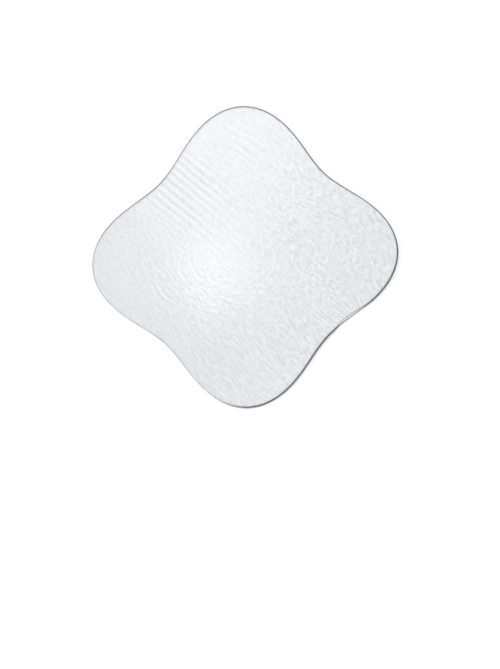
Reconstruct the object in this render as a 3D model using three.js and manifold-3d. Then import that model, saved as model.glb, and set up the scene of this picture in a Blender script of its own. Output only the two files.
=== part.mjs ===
// Hydrogel breast pad: a four-lobed sheet of soft clear gel, with a thin clear film bonded over its
// outer face. Both are die-cut in one stroke. The gel is soft and the film is not, so where the pad
// was squeezed at a waist the film has wrinkled, and the gel under it has followed.
//
// Millimetres. X and Y run through the lobe tips. Z is up, and the gel's skin side lies on Z = 0.

import * as THREE from "three";
import { mergeVertices } from "three/addons/utils/BufferGeometryUtils.js";
import Module from "manifold-3d";

// The die-cut outline, a wave round a circle.
const lobeCount = 4;
const tipSpan = 100; // across two opposite lobe tips
const waistSpan = 76; // across two opposite waists
const tipSharpness = 0.14; // how far the second wave draws the tips out
const outlineStep = 1.3; // length of one facet of the cut edge

// The two layers.
const gelThickness = 2.3;
const filmThickness = 0.05;

// Where the gel has shrunk back under the film's edge, beside one waist.
const drawInDepth = 0.55;
const drawInBearing = -32; // degrees from +X
const drawInWidth = 16; // degrees of the outline

// The wrinkles. Their crests run along one diagonal, from waist to opposite waist.
const wrinkleBearing = -42; // degrees from +X
const facetsPerWrinkle = 7;

// The long wrinkles come in from the upper left waist.
const longPitch = 2.2;
const longHeight = 0.12; // trough to crest
const longReach = 33; // from the waist's edge to where they have died out
const longBand = 25; // width of the whole set, across its crests
const longOffset = 5; // of the set's middle, to the upper right of the diagonal

// The short wrinkles come in from the lower right waist.
const shortPitch = 1.3;
const shortHeight = 0.06;
const shortReach = 13;
const shortBand = 22;
const shortOffset = 1;

const gelMaterial = new THREE.MeshStandardMaterial({
  color: 0xdcdfea,
  roughness: 0.25,
  metalness: 0,
  transparent: true,
  opacity: 0.75,
});
const filmMaterial = new THREE.MeshStandardMaterial({
  color: 0xeef0f4,
  roughness: 0.3,
  metalness: 0,
  transparent: true,
  opacity: 0.6,
});

const wasm = await Module();
wasm.setup();

const radians = THREE.MathUtils.degToRad;

// The radius of the die-cut outline in the direction of an angle.
function cutRadius(angle) {
  const mean = (tipSpan + waistSpan) / 4 - tipSharpness;
  const lobe = (tipSpan - waistSpan) / 4;
  const wave = lobe * Math.cos(lobeCount * angle);
  return mean + wave + tipSharpness * Math.cos(2 * lobeCount * angle);
}

// The gel's own radius, smaller than the film's only where it has drawn in.
function gelRadius(angle) {
  const from = angle - radians(drawInBearing);
  const turn = Math.atan2(Math.sin(from), Math.cos(from));
  return cutRadius(angle) - drawInDepth * hump(turn / radians(drawInWidth / 2));
}

// A smooth hump, 1 at 0 and nothing from -1 down and 1 up.
function hump(t) {
  return Math.abs(t) < 1 ? 0.5 + 0.5 * Math.cos(Math.PI * t) : 0;
}

// Full height over the inner half of a stretch, and then a smooth end.
function fade(t) {
  return Math.abs(t) < 0.5 ? 1 : hump(2 * Math.abs(t) - 1);
}

// How far the outer face stands above its mean, along and across the wrinkled diagonal.
function wrinkle(along, across) {
  const long =
    fade((along + waistSpan / 2) / longReach) *
    fade((2 * (across - longOffset)) / longBand) *
    Math.cos((2 * Math.PI * (across - longOffset)) / longPitch);
  const short =
    fade((along - waistSpan / 2) / shortReach) *
    fade((2 * (across - shortOffset)) / shortBand) *
    Math.cos((2 * Math.PI * (across - shortOffset)) / shortPitch);
  return (longHeight * long + shortHeight * short) / 2;
}

// Even steps from one value to another, at most the given size.
function steps(from, to, size) {
  const count = Math.max(1, Math.ceil((to - from) / size));
  return Array.from({ length: count }, (_, i) => from + ((to - from) * i) / count);
}

// The grid that carries the wrinkles: long cells along the crests, and narrow ones across them.
const reach = tipSpan / 2 + 1;
const longEnd = -waistSpan / 2 + longReach;
const shortEnd = waistSpan / 2 - shortReach;
const alongLines = [
  ...steps(-reach, longEnd, longReach / 8),
  ...steps(longEnd, shortEnd, reach),
  ...steps(shortEnd, reach, shortReach / 4),
  reach,
];
const bandLow = Math.min(longOffset - longBand / 2, shortOffset - shortBand / 2);
const bandHigh = Math.max(longOffset + longBand / 2, shortOffset + shortBand / 2);
const acrossLines = [
  ...steps(-reach, bandLow, reach),
  ...steps(bandLow, bandHigh, longPitch / facetsPerWrinkle),
  ...steps(bandHigh, reach, reach),
  reach,
];

// A height that is clear of the whole pad.
const ceiling = 2 * (gelThickness + filmThickness + longHeight + shortHeight);

// A closed block on that grid, between two surfaces given as heights.
function blanket(bottom, top) {
  const columns = alongLines.length;
  const rows = acrossLines.length;
  const turn = radians(wrinkleBearing);
  const corners = [];
  for (const height of [bottom, top]) {
    for (const across of acrossLines) {
      for (const along of alongLines) {
        corners.push(
          along * Math.cos(turn) - across * Math.sin(turn),
          along * Math.sin(turn) + across * Math.cos(turn),
          height(along, across),
        );
      }
    }
  }
  const faces = [];
  const quad = (a, b, c, d) => faces.push(a, b, c, a, c, d);
  const lift = columns * rows;
  for (let row = 0; row + 1 < rows; row++) {
    for (let column = 0; column + 1 < columns; column++) {
      const a = row * columns + column;
      const b = a + 1;
      const c = b + columns;
      const d = a + columns;
      quad(a, d, c, b);
      faces.push(lift + a, lift + b, lift + c, lift + a, lift + c, lift + d);
    }
  }
  for (let column = 0; column + 1 < columns; column++) {
    const far = (rows - 1) * columns + column;
    quad(column, column + 1, lift + column + 1, lift + column);
    quad(far + 1, far, lift + far, lift + far + 1);
  }
  for (let row = 0; row + 1 < rows; row++) {
    const left = row * columns;
    const right = left + columns - 1;
    quad(left + columns, left, lift + left, lift + left + columns);
    quad(right, right + columns, lift + right + columns, lift + right);
  }
  return solidOf(corners, faces);
}

function solidOf(corners, faces) {
  return new wasm.Manifold(
    new wasm.Mesh({
      numProp: 3,
      vertProperties: new Float32Array(corners),
      triVerts: new Uint32Array(faces),
    }),
  );
}

// A straight-walled prism of an outline, from Z = 0 to well above the sheet.
function die(radius) {
  const sides = 4 * Math.round((Math.PI * tipSpan) / outlineStep / 4);
  const outline = new THREE.Shape(
    Array.from({ length: sides }, (_, i) => {
      const angle = (2 * Math.PI * i) / sides;
      return new THREE.Vector2(Math.cos(angle), Math.sin(angle)).multiplyScalar(radius(angle));
    }),
  );
  const prism = new THREE.ExtrudeGeometry(outline, { depth: ceiling, bevelEnabled: false });
  prism.deleteAttribute("normal");
  prism.deleteAttribute("uv");
  const joined = mergeVertices(prism);
  return solidOf(joined.attributes.position.array, joined.index.array);
}

// A named piece of the pad, from its solid.
function piece(name, solid, material) {
  const { vertProperties, triVerts } = solid.getMesh();
  const geometry = new THREE.BufferGeometry();
  geometry.setAttribute("position", new THREE.BufferAttribute(vertProperties, 3));
  geometry.setIndex(new THREE.BufferAttribute(triVerts, 1));
  const mesh = new THREE.Mesh(geometry, material);
  mesh.name = name;
  return mesh;
}

// The gel, from its flat skin side up to the film.
const gelTop = (along, across) => gelThickness + wrinkle(along, across);
const gel = die(gelRadius).subtract(blanket(gelTop, () => 2 * ceiling));

// The film, of one thickness all over, bonded to every wrinkle of the gel.
const filmTop = (along, across) => gelTop(along, across) + filmThickness;
const film = blanket(gelTop, filmTop).intersect(die(cutRadius));

const pad = new THREE.Group();
pad.add(piece("hydrogel_sheet", gel, gelMaterial));
pad.add(piece("backing_film", film, filmMaterial));

export default pad;
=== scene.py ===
from math import cos, pi, radians, sin

import bpy
from mathutils import Matrix, Vector


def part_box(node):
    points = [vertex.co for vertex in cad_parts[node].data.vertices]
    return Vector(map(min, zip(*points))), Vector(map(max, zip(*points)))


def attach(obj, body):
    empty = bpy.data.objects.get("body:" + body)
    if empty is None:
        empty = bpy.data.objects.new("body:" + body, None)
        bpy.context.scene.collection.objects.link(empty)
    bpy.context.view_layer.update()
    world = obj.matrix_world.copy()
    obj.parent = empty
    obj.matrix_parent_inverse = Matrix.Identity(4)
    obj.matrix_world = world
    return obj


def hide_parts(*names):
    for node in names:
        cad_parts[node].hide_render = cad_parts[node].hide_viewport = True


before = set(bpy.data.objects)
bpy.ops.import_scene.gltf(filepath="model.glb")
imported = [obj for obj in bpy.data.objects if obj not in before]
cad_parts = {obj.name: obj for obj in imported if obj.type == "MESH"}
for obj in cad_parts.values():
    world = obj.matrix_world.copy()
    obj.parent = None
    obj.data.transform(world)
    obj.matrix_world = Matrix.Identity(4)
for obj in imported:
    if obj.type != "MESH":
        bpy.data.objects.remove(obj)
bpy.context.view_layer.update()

# The gel sheet. A slab of soft clear gel of water and glycerine, cast flat and then die-cut into
# four round lobes with a shallow waist between each two. Its skin side is flat and tacky. Its outer
# side has taken up the wrinkles of the film, and beside one waist it has shrunk back a little.
tip_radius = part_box("backing_film")[1].x
waist_radius = 0.038
lobe_count = 4
tip_sharpness = 0.00014  # how far a second wave draws the tips out
slack_count = 3
out_of_true = -0.00033  # of a third wave, as a real cut is never quite even
gel_thickness = 0.0023
bond_gap = 0.00001
draw_in_depth = 0.00095
draw_in_bearing = radians(-32)
draw_in_width = radians(22)
cells_along = 130
cells_across = 358
edge_cells = 3
cell_bearing = radians(-53)
rolled_edge_width = 0.00055
rolled_edge_drop = 0.00028
# The press bearing and the least press set how far the die has pressed the rolled edge down, and also how
# dark the edge shade is painted along the outline.
press_and_shade_bearing = radians(20)  # the side that the die has pressed hardest
least_press_and_shade = 0.45  # on the opposite side, as a share
edge_rounding = 0.0001
edge_segments = 2
edge_angle = radians(50)


def plug(tree, made, inputs):
    """Gives a node's inputs plain values, or links the outputs of other nodes to them."""
    for name, value in dict(inputs).items():
        if isinstance(value, bpy.types.NodeSocket):
            tree.links.new(value, made.inputs[name])
        else:
            made.inputs[name].default_value = value


def node(tree, kind, inputs=(), **settings):
    """A node with its settings made and its inputs plugged, by name or by number."""
    made = tree.nodes.new(kind)
    for name, value in settings.items():
        setattr(made, name, value)
    plug(tree, made, inputs)
    return made


def maths(tree, operation, *values):
    """The result of one Math node."""
    return node(tree, "ShaderNodeMath", enumerate(values), operation=operation).outputs[0]


def vector_maths(tree, operation, first, second):
    """The outputs of one Vector Math node."""
    return node(tree, "ShaderNodeVectorMath", {0: first, 1: second}, operation=operation).outputs


def ramp(tree, value, start, end, low, high):
    """Carries a value smoothly from low at start to high at end."""
    inputs = {"Value": value, "From Min": start, "From Max": end, "To Min": low, "To Max": high}
    return node(tree, "ShaderNodeMapRange", inputs, interpolation_type="SMOOTHSTEP").outputs[0]


def mixed(tree, share, first, second):
    """Between a first value and a second, by a share from 0 to 1."""
    return node(tree, "ShaderNodeMix", {"Factor": share, "A": first, "B": second}).outputs[0]


def noise(tree, place, scale, detail):
    """Soft noise around a half, finer with a larger scale and rougher with more detail."""
    inputs = {"Vector": place, "Scale": scale, "Detail": detail}
    return node(tree, "ShaderNodeTexNoise", inputs).outputs[0]


def parts_of(tree, place):
    """The X, Y and Z of a place."""
    return node(tree, "ShaderNodeSeparateXYZ", {0: place}).outputs


def place_at(tree, x, y, z):
    """A place from its X, Y and Z."""
    return node(tree, "ShaderNodeCombineXYZ", {"X": x, "Y": y, "Z": z}).outputs[0]


def turned_back(tree, place, bearing):
    """A flat place as it is seen along and across a bearing."""
    inputs = {"Vector": place, "Angle": maths(tree, "MULTIPLY", bearing, -1.0)}
    return node(tree, "ShaderNodeVectorRotate", inputs, rotation_type="Z_AXIS").outputs[0]


def new_group(name, inputs, output):
    """An empty geometry node group with named inputs, and its input node's outputs."""
    tree = bpy.data.node_groups.new(name, "GeometryNodeTree")
    for label, kind in inputs.items():
        tree.interface.new_socket(label, in_out="INPUT", socket_type="NodeSocket" + kind)
    label, kind = output
    tree.interface.new_socket(label, in_out="OUTPUT", socket_type="NodeSocket" + kind)
    return tree, tree.nodes.new("NodeGroupInput").outputs


def wrinkle_set():
    """A node group for one set of nearly parallel wrinkles, which run in from a spot and die out."""
    sizes = ("Bearing", "Start", "Reach", "Band", "Offset", "Pitch", "Height", "Wander")
    inputs = {"Place": "Vector", **dict.fromkeys(sizes, "Float")}
    tree, given = new_group("Wrinkle set", inputs, ("Height", "Float"))
    line = parts_of(tree, turned_back(tree, given["Place"], given["Bearing"]))
    drift = maths(tree, "SUBTRACT", noise(tree, given["Place"], 90.0, 1.0), 0.5)
    sway = maths(tree, "MULTIPLY", drift, given["Wander"])
    inwards = maths(tree, "SUBTRACT", line["X"], given["Start"])
    aside = maths(tree, "SUBTRACT", line["Y"], given["Offset"])
    turns = maths(tree, "DIVIDE", maths(tree, "ADD", aside, sway), given["Pitch"])
    wave = maths(tree, "COSINE", maths(tree, "MULTIPLY", turns, 2 * pi))

    # Strongest at the start, gone at the reach, and each crest of its own height.
    depth = maths(tree, "ABSOLUTE", maths(tree, "DIVIDE", inwards, given["Reach"]))
    half_band = maths(tree, "MULTIPLY", given["Band"], 0.5)
    breadth = maths(tree, "ABSOLUTE", maths(tree, "DIVIDE", aside, half_band))
    inner_fade = ramp(tree, depth, 0.25, 1.0, 1.0, 0.0)
    side_fade = ramp(tree, breadth, 0.4, 1.0, 1.0, 0.0)
    strength = maths(tree, "MULTIPLY", inner_fade, side_fade)
    uneven = ramp(tree, noise(tree, given["Place"], 110.0, 1.0), 0.3, 0.7, 0.6, 1.2)
    crests = maths(tree, "MULTIPLY", wave, strength)
    full_height = maths(tree, "MULTIPLY", crests, maths(tree, "MULTIPLY", uneven, given["Height"]))
    node(tree, "NodeGroupOutput", {"Height": maths(tree, "MULTIPLY", full_height, 0.5)})
    return tree


def crinkle():
    """A node group for the fine crinkle of the film: short strokes, with rounder dimples in patches."""
    sizes = ("Height", "Width", "Length", "Bearing")
    inputs = {"Place": "Vector", **dict.fromkeys(sizes, "Float")}
    tree, given = new_group("Crinkle", inputs, ("Height", "Float"))
    line = turned_back(tree, given["Place"], given["Bearing"])
    stroke = place_at(tree, given["Length"], given["Width"], 1.0)
    strokes = noise(tree, vector_maths(tree, "DIVIDE", line, stroke)[0], 1.0, 1.0)
    dimple = place_at(tree, given["Width"], given["Width"], 1.0)
    dimples = noise(tree, vector_maths(tree, "DIVIDE", given["Place"], dimple)[0], 0.9, 1.0)
    dimpled = ramp(tree, noise(tree, given["Place"], 45.0, 0.0), 0.4, 0.62, 0.2, 0.8)
    grain = maths(tree, "SUBTRACT", mixed(tree, dimpled, strokes, dimples), 0.5)

    # The film is calm towards the lobe on -X and liveliest towards the one on +X.
    side = vector_maths(tree, "DOT_PRODUCT", given["Place"], (1, -0.25, 0))["Value"]
    liveliness = ramp(tree, side, -0.035, 0.045, 0.45, 1.4)
    raised = maths(tree, "MULTIPLY", grain, liveliness)
    node(tree, "NodeGroupOutput", {"Height": maths(tree, "MULTIPLY", raised, given["Height"])})
    return tree


def marked(tree, mesh, name, value):
    """A mesh with one more value kept on each of its corners, under a name."""
    inputs = {"Geometry": mesh, "Name": name, "Value": value}
    settings = {"data_type": "FLOAT", "domain": "POINT"}
    return node(tree, "GeometryNodeStoreNamedAttribute", inputs, **settings).outputs[0]


def kept(tree, name):
    """A value that was kept on the corners of the mesh."""
    return node(tree, "GeometryNodeInputNamedAttribute", {"Name": name}, data_type="FLOAT").outputs[0]


def disc_of_cells(tree, given):
    """A square grid, and where its corners lie in a disc: their ring from 0 to 1, east and north."""
    far_share = maths(tree, "DIVIDE", given["Edge width"], given["Tip radius"])
    inner_share = maths(tree, "SUBTRACT", 1.0, far_share)
    square = parts_of(tree, node(tree, "GeometryNodeInputPosition").outputs[0])
    grid_inputs = {"Size X": 2.0, "Size Y": 2.0}
    squeezed = []

    # The outermost cells are squeezed together, to follow the rolled edge.
    for axis, count in (("X", "Cells along"), ("Y", "Cells across")):
        grid_inputs["Vertices " + axis] = maths(tree, "ADD", given[count], 1.0)
        outer_cells = maths(tree, "DIVIDE", given["Edge cells"], given[count])
        inner_end = maths(tree, "SUBTRACT", 1.0, maths(tree, "MULTIPLY", outer_cells, 2.0))
        far = maths(tree, "ABSOLUTE", square[axis])
        inner = maths(tree, "DIVIDE", maths(tree, "MULTIPLY", far, inner_share), inner_end)
        limits = {"From Min": inner_end, "From Max": 1.0, "To Min": inner_share, "To Max": 1.0}
        outer = node(tree, "ShaderNodeMapRange", {"Value": far, **limits}).outputs[0]
        nearer = maths(tree, "MINIMUM", inner, outer)
        squeezed.append(maths(tree, "MULTIPLY", nearer, maths(tree, "SIGN", square[axis])))
    grid = node(tree, "GeometryNodeMeshGrid", grid_inputs).outputs["Mesh"]

    # Each square ring of the grid becomes a round one.
    x, y = squeezed
    is_wide = maths(tree, "GREATER_THAN", maths(tree, "ABSOLUTE", x), maths(tree, "ABSOLUTE", y))
    low_turn = maths(tree, "MULTIPLY", maths(tree, "DIVIDE", y, x), pi / 4)
    short_of_north = maths(tree, "MULTIPLY", maths(tree, "DIVIDE", x, y), pi / 4)
    high_turn = maths(tree, "SUBTRACT", pi / 2, short_of_north)
    turn = maths(tree, "ADD", mixed(tree, is_wide, high_turn, low_turn), given["Cell bearing"])
    signed_ring = mixed(tree, is_wide, y, x)
    east = maths(tree, "MULTIPLY", signed_ring, maths(tree, "COSINE", turn))
    north = maths(tree, "MULTIPLY", signed_ring, maths(tree, "SINE", turn))
    return grid, maths(tree, "ABSOLUTE", signed_ring), east, north


def die_cut(tree, given, grid, ring, east, north):
    """The disc drawn out to the lobed outline, less the draw-in of its outermost part."""
    bearing = maths(tree, "ARCTAN2", north, east)
    both = maths(tree, "ADD", given["Tip radius"], given["Waist radius"])
    mean = maths(tree, "SUBTRACT", maths(tree, "MULTIPLY", both, 0.5), given["Tip sharpness"])
    gap = maths(tree, "SUBTRACT", given["Tip radius"], given["Waist radius"])
    lobe_turn = maths(tree, "MULTIPLY", bearing, lobe_count)
    tip_turn = maths(tree, "MULTIPLY", bearing, 2 * lobe_count)
    slack_turn = maths(tree, "MULTIPLY", bearing, slack_count)
    half_gap = maths(tree, "MULTIPLY", gap, 0.5)
    lobed = maths(tree, "MULTIPLY_ADD", maths(tree, "COSINE", lobe_turn), half_gap, mean)
    tipped = maths(tree, "MULTIPLY_ADD", maths(tree, "COSINE", tip_turn), given["Tip sharpness"], lobed)
    slack = maths(tree, "MULTIPLY", maths(tree, "SINE", slack_turn), given["Out of true"])
    cut = maths(tree, "ADD", tipped, slack)

    # The draw-in is deepest at its own bearing, and only the part close to the edge takes part.
    away = maths(tree, "WRAP", maths(tree, "SUBTRACT", bearing, given["Draw-in bearing"]), pi, -pi)
    half_width = maths(tree, "MULTIPLY", given["Draw-in width"], 0.5)
    share = maths(tree, "DIVIDE", maths(tree, "ABSOLUTE", away), half_width)
    pull = ramp(tree, share, 0.1, 1.0, given["Draw-in depth"], 0.0)
    outermost = maths(tree, "MULTIPLY", maths(tree, "POWER", ring, 12.0), given["Draws in"])
    radius = maths(tree, "SUBTRACT", cut, maths(tree, "MULTIPLY", pull, outermost))
    plan_x, plan_y = (maths(tree, "MULTIPLY", way, radius) for way in (east, north))
    from_edge = maths(tree, "MULTIPLY", maths(tree, "SUBTRACT", 1.0, ring), radius)

    # The die has pressed hardest where the outline faces the press bearing. The same share sets how dark
    # the edge shade is painted there.
    wave_slope = maths(tree, "MULTIPLY", maths(tree, "SINE", lobe_turn),
                       maths(tree, "MULTIPLY", gap, -lobe_count / 2))
    facing = maths(tree, "SUBTRACT", bearing, maths(tree, "ARCTAN2", wave_slope, cut))
    press_side = maths(tree, "COSINE", maths(tree, "SUBTRACT", facing, given["Press and shade bearing"]))
    press_and_rim_shade = ramp(tree, press_side, -0.9, -0.3, given["Least press and shade"], 1.0)
    overhang = maths(tree, "SUBTRACT", pull, from_edge)
    for name, value in (("from_edge", from_edge), ("overhang", overhang), ("press_and_rim_shade", press_and_rim_shade)):
        grid = marked(tree, grid, name, value)
    inputs = {"Geometry": grid, "Position": place_at(tree, plan_x, plan_y, 0.0)}
    return node(tree, "GeometryNodeSetPosition", inputs).outputs[0]


def closed_slab(tree, flat):
    """A flat sheet drawn up into a closed slab one unit high, its underside turned to face down."""
    drawn_up = {"Mesh": flat, "Offset Scale": 1.0, "Individual": False}
    slab = node(tree, "GeometryNodeExtrudeMesh", drawn_up).outputs["Mesh"]
    base = node(tree, "GeometryNodeFlipFaces", {"Mesh": flat}).outputs[0]
    shell = node(tree, "GeometryNodeJoinGeometry")
    for side in (slab, base):
        tree.links.new(side, shell.inputs[0])
    inputs = {"Geometry": shell.outputs[0], "Distance": 1e-6}
    return node(tree, "GeometryNodeMergeByDistance", inputs).outputs[0]


def lobed_sheet(reliefs):
    """A node group for a closed die-cut sheet: its outline, its rolled edge and its relief."""
    lengths = ("Tip radius", "Waist radius", "Tip sharpness", "Out of true", "Draw-in depth",
               "Draw-in bearing", "Draw-in width", "Draws in", "Edge width", "Edge drop",
               "Press and shade bearing", "Least press and shade", "Underside", "Top", "Underside follows", "Cell bearing")
    counts = ("Cells along", "Cells across", "Edge cells")
    kinds = {**dict.fromkeys(counts, "Int"), **dict.fromkeys(lengths, "Float"), "Material": "Material"}
    tree, given = new_group("Lobed sheet", kinds, ("Geometry", "Geometry"))
    flat = die_cut(tree, given, *disc_of_cells(tree, given))
    slab = closed_slab(tree, flat)

    # The wrinkles and the crinkle, on every level that follows them.
    place = node(tree, "GeometryNodeInputPosition").outputs[0]
    spot = parts_of(tree, place)
    flat_place = vector_maths(tree, "MULTIPLY", place, (1, 1, 0))[0]
    relief = 0.0
    for kind, sizes in reliefs:
        one = node(tree, "GeometryNodeGroup", {"Place": flat_place, **sizes}, node_tree=kind)
        relief = maths(tree, "ADD", relief, one.outputs[0])
    relieved = marked(tree, slab, "relief", relief)

    # The die has pressed the edge of the top down in a small roll, on one side more than the other.
    inset = maths(tree, "DIVIDE", kept(tree, "from_edge"), given["Edge width"])
    nearness = maths(tree, "SUBTRACT", 1.0, maths(tree, "MINIMUM", inset, 1.0))
    drop = maths(tree, "MULTIPLY", kept(tree, "press_and_rim_shade"), given["Edge drop"])
    roll = maths(tree, "MULTIPLY", maths(tree, "POWER", nearness, 2.0), drop)
    follows = maths(tree, "MAXIMUM", spot["Z"], given["Underside follows"])
    lift = maths(tree, "MULTIPLY", maths(tree, "SUBTRACT", relief, roll), follows)
    height = maths(tree, "ADD", mixed(tree, spot["Z"], given["Underside"], given["Top"]), lift)
    final_place = place_at(tree, spot["X"], spot["Y"], height)
    formed = node(tree, "GeometryNodeSetPosition", {"Geometry": relieved, "Position": final_place})
    smooth = node(tree, "GeometryNodeSetShadeSmooth", {"Geometry": formed.outputs[0]})
    real = node(tree, "GeometryNodeRealizeInstances", {"Geometry": smooth.outputs[0]})
    finish = {"Geometry": real.outputs[0], "Material": given["Material"]}
    painted = node(tree, "GeometryNodeSetMaterial", finish)
    node(tree, "NodeGroupOutput", {"Geometry": painted.outputs[0]})
    return tree


def made_by(tree, name, inputs):
    """A plain mesh object from a geometry node group and the values of its inputs."""
    seed = bpy.data.objects.new("seed", bpy.data.meshes.new("seed"))
    bpy.context.scene.collection.objects.link(seed)
    modifier = seed.modifiers.new("Shape", "NODES")
    modifier.node_group = tree
    sockets = {s.name: s.identifier for s in tree.interface.items_tree if s.in_out == "INPUT"}
    for label, value in inputs.items():
        modifier[sockets[label]] = value
    bpy.context.view_layer.update()
    shaped = seed.evaluated_get(bpy.context.evaluated_depsgraph_get())
    mesh = bpy.data.meshes.new_from_object(shaped)
    mesh.name = name
    bpy.data.objects.remove(seed)
    made = bpy.data.objects.new(name, mesh)
    bpy.context.scene.collection.objects.link(made)
    return made


def new_material(name):
    """A new material, with its node tree and its shader."""
    made = bpy.data.materials.new(name)
    made.use_nodes = True
    return made, made.node_tree, made.node_tree.nodes["Principled BSDF"]


def mark(tree, name):
    """A value that was kept on the corners of the mesh, read in a material."""
    return node(tree, "ShaderNodeAttribute", {}, attribute_name=name).outputs["Fac"]


def blend(tree, share, first, second):
    """Between a first colour and a second, by a share from 0 to 1."""
    inputs = {"Factor": share, 6: first, 7: second}
    return node(tree, "ShaderNodeMix", inputs, data_type="RGBA").outputs[2]


def cut_edge(tree):
    """1 along the cut edge, and nothing from half a millimetre in."""
    return ramp(tree, mark(tree, "from_edge"), 0.0001, 0.0005, 1.0, 0.0)


def clear_gel():
    """Clear gel: wet and smooth, hazed a little and unevenly, with painted shade along its cut edge."""
    thin_haze = (0.86, 0.865, 0.885, 1)
    white_haze = (0.94, 0.945, 0.955, 1)
    edge_shade_colour = (0.09, 0.082, 0.14, 1)
    wall_top = 0.0021
    made, tree, shader = new_material("clear_gel")
    place = node(tree, "ShaderNodeTexCoord").outputs["Object"]
    body = blend(tree, noise(tree, place, 120.0, 4.0), thin_haze, white_haze)

    # Painted shade: the cut is painted dark and made less clear, most along its top and on the pressed
    # side. Where the gel has shrunk back, only that top line is painted dark.
    height = parts_of(tree, place)["Z"]
    drawn_in = ramp(tree, mark(tree, "overhang"), 0.0, 0.0004, 0.0, 1.0)
    shrunk = maths(tree, "MULTIPLY", drawn_in, ramp(tree, height, 0.0016, wall_top, 1.0, 0.0))
    depth = ramp(tree, height, 0.0011, wall_top, 0.38, 1.0)
    pressed_edge_shade = maths(tree, "MULTIPLY", mark(tree, "press_and_rim_shade"), depth)
    unshrunk_edge_shade = maths(tree, "MULTIPLY", pressed_edge_shade, maths(tree, "SUBTRACT", 1.0, shrunk))
    cut = maths(tree, "MULTIPLY", cut_edge(tree), unshrunk_edge_shade)
    plug(tree, shader, {
        "Base Color": blend(tree, cut, body, edge_shade_colour),
        "Transmission Weight": maths(tree, "SUBTRACT", 1.0, maths(tree, "MULTIPLY", cut, 0.6)),
        "Roughness": ramp(tree, noise(tree, place, 2500.0, 2.0), 0.3, 0.7, 0.08, 0.2),
        "IOR": 1.38,
        "Specular IOR Level": 0.25,
    })
    return made


wrinkles = wrinkle_set()
sheet_shape = lobed_sheet([
    # The long wrinkles from the upper left waist.
    (wrinkles, {"Bearing": radians(-42), "Start": -waist_radius, "Reach": 0.037, "Band": 0.028,
                "Offset": 0.0045, "Pitch": 0.00225, "Height": 0.00004, "Wander": 0.0012}),
    # The short ones from the lower right waist.
    (wrinkles, {"Bearing": radians(-42), "Start": waist_radius, "Reach": 0.012, "Band": 0.018,
                "Offset": 0.003, "Pitch": 0.00135, "Height": 0.00005, "Wander": 0.001}),
    # A few faint ones in the upper lobe.
    (wrinkles, {"Bearing": radians(-33), "Start": -0.020, "Reach": 0.009, "Band": 0.012,
                "Offset": 0.032, "Pitch": 0.0026, "Height": 0.000036, "Wander": 0.002}),
    (crinkle(), {"Height": 0.000195, "Width": 0.00103, "Length": 0.0024, "Bearing": radians(-62)}),
])
sheet_sizes = {
    "Tip radius": tip_radius,
    "Waist radius": waist_radius,
    "Tip sharpness": tip_sharpness,
    "Out of true": out_of_true,
    "Draw-in depth": draw_in_depth,
    "Draw-in bearing": draw_in_bearing,
    "Draw-in width": draw_in_width,
    "Edge width": rolled_edge_width,
    "Edge drop": rolled_edge_drop,
    "Press and shade bearing": press_and_shade_bearing,
    "Least press and shade": least_press_and_shade,
    "Edge cells": edge_cells,
    "Cells along": cells_along,
    "Cells across": cells_across,
    "Cell bearing": cell_bearing,
}
gel = made_by(sheet_shape, "gel", {
    **sheet_sizes,
    "Draws in": 1.0,
    "Underside": 0.0,
    "Top": gel_thickness - bond_gap,
    "Underside follows": 0.0,
    "Material": clear_gel(),
})
rounding = gel.modifiers.new("Edge", "BEVEL")
rounding.width = edge_rounding
rounding.segments = edge_segments
rounding.limit_method = "ANGLE"
rounding.angle_limit = edge_angle
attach(gel, "root")
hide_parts("hydrogel_sheet")

# The backing film. A clear film, a twentieth of a millimetre thick, laid on the gel before it was cut
# and bonded to it all over, so that it is crinkled everywhere and wrinkled at two waists.
film_thickness = 0.00005
sharp_angle = radians(40)


def clear_film():
    """Clear film: unevenly milky, with painted light on its crests and painted shade in its hollows,
    clear where the gel has shrunk from under it, and painted dark at its cut.
    """
    thin_haze = (0.69, 0.692, 0.715, 1)
    white_haze = (0.92, 0.925, 0.94, 1)
    edge_shade_colour = (0.04, 0.036, 0.075, 1)
    crest_height = 0.00004
    made, tree, shader = new_material("clear_film")
    place = node(tree, "ShaderNodeTexCoord").outputs["Object"]
    # Painted light and shade: the crests of the relief are painted paler and its hollows darker, over an
    # uneven milky haze.
    limits = {"From Min": -crest_height, "From Max": crest_height}
    crest = node(tree, "ShaderNodeMapRange", {"Value": mark(tree, "relief"), **limits}).outputs[0]
    raised = maths(tree, "MULTIPLY", crest, 0.8)
    haze_and_crest_light = maths(tree, "MULTIPLY_ADD", noise(tree, place, 60.0, 4.0), 0.3, raised)
    # Painted shade: the cut edge is painted dark and made less see-through, most on the pressed side.
    press_and_rim_shade = mark(tree, "press_and_rim_shade")
    cut = maths(tree, "MULTIPLY", cut_edge(tree), press_and_rim_shade)

    # A crepe too fine for the mesh veils the film and breaks up its shine.
    inputs = {"Vector": place, "Rotation": (0, 0, radians(62)), "Scale": (1200, 3000, 3000)}
    along_crepe = node(tree, "ShaderNodeMapping", inputs, vector_type="POINT").outputs[0]
    crepe = noise(tree, along_crepe, 1.0, 3.0)
    veil = ramp(tree, crepe, 0.3, 0.7, 0.46, 0.52)
    loose = ramp(tree, mark(tree, "overhang"), -0.0002, 0.0001, veil, 0.08)
    edge_shade_cover = ramp(tree, mark(tree, "from_edge"), 0.00011, 0.0003, press_and_rim_shade, 0.0)
    bump = node(tree, "ShaderNodeBump", {"Height": crepe, "Strength": 0.3, "Distance": 0.00002})
    plug(tree, shader, {
        "Base Color": blend(tree, cut, blend(tree, haze_and_crest_light, thin_haze, white_haze), edge_shade_colour),
        "Alpha": mixed(tree, edge_shade_cover, loose, 0.8),
        "Roughness": ramp(tree, crepe, 0.3, 0.7, 0.16, 0.24),
        "Normal": bump.outputs[0],
        "IOR": 1.55,
    })
    return made


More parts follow.
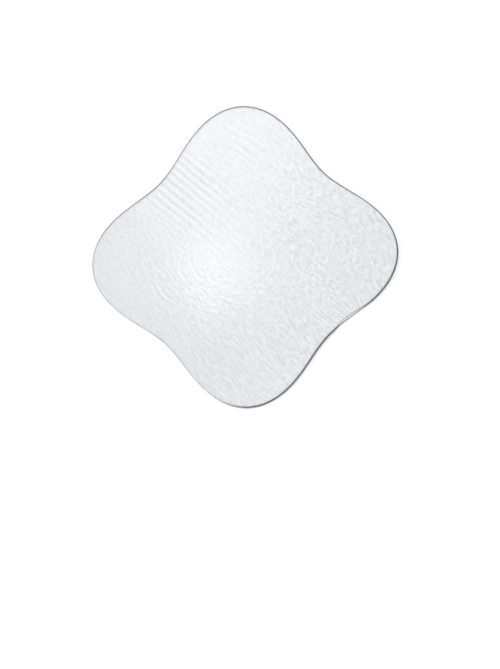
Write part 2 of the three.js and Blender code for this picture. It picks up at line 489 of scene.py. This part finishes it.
film = made_by(sheet_shape, "film", {
    **sheet_sizes,
    "Draws in": 0.0,
    "Underside": gel_thickness,
    "Top": gel_thickness + film_thickness,
    "Underside follows": 1.0,
    "Material": clear_film(),
})
film.data.set_sharp_from_angle(angle=sharp_angle)
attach(film, "root")
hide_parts("backing_film")

# The floor, the light and the view. The pad lies on plain white under large soft lamps and a pale
# sky, and is seen from almost straight above. The floor is a hair lower than the pad's underside.
floor_size = 12.0
floor_drop = 0.00002


def white_floor():
    """White, and shown as full white to the camera and through the gel, less the pad's shadow."""
    made, tree, shader = new_material("white_floor")
    rays = node(tree, "ShaderNodeLightPath").outputs
    bounced = maths(tree, "MAXIMUM", rays["Is Glossy Ray"], rays["Is Transmission Ray"])
    seen = maths(tree, "MAXIMUM", rays["Is Camera Ray"], bounced)
    plug(tree, shader, {
        "Base Color": (0.3, 0.3, 0.3, 1),
        "Roughness": 0.9,
        "Emission Color": (1, 1, 1, 1),
        "Emission Strength": maths(tree, "MULTIPLY", seen, 0.8),
    })
    return made


half = floor_size / 2
floor_corners = [(-half, -half, 0), (half, -half, 0), (half, half, 0), (-half, half, 0)]
floor_mesh = bpy.data.meshes.new("floor")
floor_mesh.from_pydata(floor_corners, [], [(0, 1, 2, 3)])
floor_mesh.materials.append(white_floor())
floor = bpy.data.objects.new("floor", floor_mesh)
bpy.context.scene.collection.objects.link(floor)
floor.location.z = -floor_drop

world = bpy.data.worlds.new("studio")
bpy.context.scene.world = world
world.use_nodes = True
studio = world.node_tree
upwards = parts_of(studio, node(studio, "ShaderNodeTexCoord").outputs["Generated"])["Z"]
brightness = ramp(studio, upwards, 0.2, 0.75, 0.1, 0.53)
plug(studio, studio.nodes["Background"], {"Color": (0.97, 0.98, 1.0, 1), "Strength": brightness})


def soft_lamp(name, place, target, size, power):
    """A square soft lamp at a place, turned to face a target."""
    light = bpy.data.lights.new(name, "AREA")
    light.size = size
    light.energy = power
    lamp = bpy.data.objects.new(name, light)
    lamp.location = place
    lamp.visible_camera = False
    lamp.rotation_euler = (Vector(target) - Vector(place)).to_track_quat("-Z", "Y").to_euler()
    bpy.context.scene.collection.objects.link(lamp)


# The key lamp gives the light, and the film mirrors the others softly as its sheen.
soft_lamp("key_lamp", (-0.775, -0.543, 0.739), (0, 0, 0), 0.35, 7.8)
soft_lamp("top_lamp", (-0.064, 0.185, 0.5), (0, 0.06, 0), 0.12, 0.36)
soft_lamp("glow_lamp", (-0.0266, 0.0221, 0.13), (-0.01, -0.005, 0), 0.022, 0.0106)
soft_lamp("back_lamp", (0.0, 1.1, 0.45), (0, 0, 0), 0.5, 1.0)
soft_lamp("front_lamp", (-0.018, 0.0, 0.3), (0.01, -0.04, 0), 0.05, 0.034)
soft_lamp("side_lamp", (0.03, 0.05, 0.3), (0.045, 0, 0), 0.05, 0.02)

# The camera looks down almost square on, from slightly towards the lower right waist.
view_tilt = radians(13.8)
view_bearing = radians(-58.6)
pad_turn = radians(2.1)
view_distance = 2.5
sensor_size = 36.0  # of the picture's longer side, its height
picture_height_px = 669
pad_span = 0.1
pad_span_px = 308.4
pixel = pad_span / pad_span_px
pad_in_picture_px = (-4.9, 76.6)

camera_data = bpy.data.cameras.new("camera")
camera_data.sensor_fit = "AUTO"
camera_data.sensor_width = sensor_size
camera_data.lens = sensor_size * view_distance / (picture_height_px * pixel)
camera_data.clip_end = 10
camera = bpy.data.objects.new("camera", camera_data)
bpy.context.scene.collection.objects.link(camera)
tilt_axis = Vector((-sin(view_bearing), cos(view_bearing), 0))
turned = Matrix.Rotation(view_tilt, 4, tilt_axis) @ Matrix.Rotation(-pad_turn, 4, "Z")
aside = Vector((-pad_in_picture_px[0] * pixel, -pad_in_picture_px[1] * pixel, view_distance))
middle = Vector((0, 0, gel_thickness / 2))
camera.matrix_world = Matrix.Translation(middle + turned.to_3x3() @ aside) @ turned
bpy.context.scene.camera = camera

bpy.context.scene.view_settings.view_transform = "Standard"
